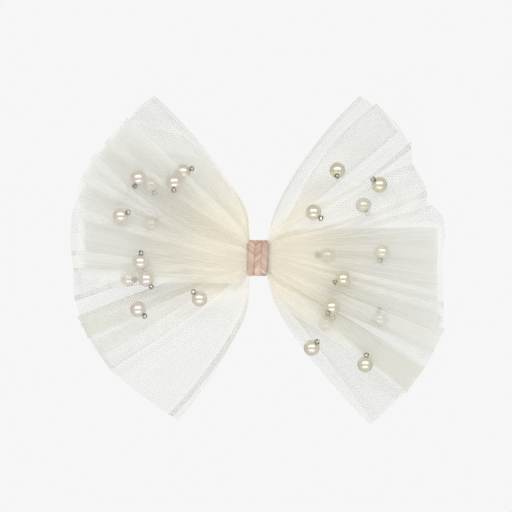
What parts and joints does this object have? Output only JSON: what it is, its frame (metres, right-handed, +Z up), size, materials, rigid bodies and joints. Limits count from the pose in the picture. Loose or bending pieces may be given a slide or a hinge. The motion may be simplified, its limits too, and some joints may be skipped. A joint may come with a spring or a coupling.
{
  "type": "pearl tulle hair bow clip",
  "caption": "Two-wing gathered tulle bow with sewn pearls and seed beads, a woven metallic ribbon round the knot, and a sprung alligator clip behind it.",
  "frame": {"origin": "in the gripping plane between the clip's two arms, behind the middle of the knot", "axes": "upright as worn: +X along the wings, to the right as the bow is seen from its front; -Y out of the bow's face and +Y towards the head, behind the clip; +Z up"},
  "size_m": [0.1441, 0.0467, 0.1255],
  "materials": {
    "tulle": "fine ivory net, sheer as one layer and cream where it is gathered",
    "knot_ribbon": "woven rose-gold metallic yarn, herringbone, soft glitter",
    "thread": "matt ivory sewing thread",
    "pearl": "ivory pearl lacquer, satin gloss",
    "seed_bead": "silver-lined glass, bright",
    "clip_steel": "nickel-plated spring steel, lightly brushed",
    "lining": "ivory grosgrain ribbon, matt"
  },
  "bodies": {
    "bow": {"tulle_layer_1": "tulle", "tulle_layer_2": "tulle", "tulle_layer_3": "tulle", "tulle_layer_4": "tulle", "tulle_layer_5": "tulle", "tulle_layer_6": "tulle", "knot_wrap": "knot_ribbon", "binding_thread": "thread", "pearl_01": "pearl", "seed_bead_01": "seed_bead", "pearl_02": "pearl", "seed_bead_02": "seed_bead", "pearl_03": "pearl", "seed_bead_03": "seed_bead", "pearl_04": "pearl", "seed_bead_04": "seed_bead", "pearl_05": "pearl", "seed_bead_05": "seed_bead", "pearl_06": "pearl", "seed_bead_06": "seed_bead", "pearl_07": "pearl", "seed_bead_07": "seed_bead", "pearl_08": "pearl", "seed_bead_08": "seed_bead", "pearl_09": "pearl", "seed_bead_09": "seed_bead", "pearl_10": "pearl", "seed_bead_10": "seed_bead", "pearl_11": "pearl", "seed_bead_11": "seed_bead", "pearl_12": "pearl", "seed_bead_12": "seed_bead", "pearl_13": "pearl", "seed_bead_13": "seed_bead", "pearl_14": "pearl", "seed_bead_14": "seed_bead", "pearl_15": "pearl", "seed_bead_15": "seed_bead", "pearl_16": "pearl", "seed_bead_16": "seed_bead", "pearl_17": "pearl", "seed_bead_17": "seed_bead", "pearl_18": "pearl", "seed_bead_18": "seed_bead", "pearl_19": "pearl", "seed_bead_19": "seed_bead", "pearl_20": "pearl", "seed_bead_20": "seed_bead", "pearl_21": "pearl", "seed_bead_21": "seed_bead", "pearl_22": "pearl", "seed_bead_22": "seed_bead", "pearl_23": "pearl", "seed_bead_23": "seed_bead", "clip_fixed_arm": "clip_steel", "ribbon_lining": "lining", "hinge_pin": "clip_steel", "clip_spring": "clip_steel"},
    "lever": {"clip_moving_arm": "clip_steel"}
  },
  "joints": [
    {"name": "clip_hinge", "type": "hinge", "parent": "bow", "child": "lever", "pos_m": [0.01, 0.0017, 0], "axis": [0, 0, -1], "range_deg": [0, 30], "stiffness_Nm_per_rad": 0.08, "springref_deg": -34.38, "deforming": ["clip_spring"]}
  ]
}
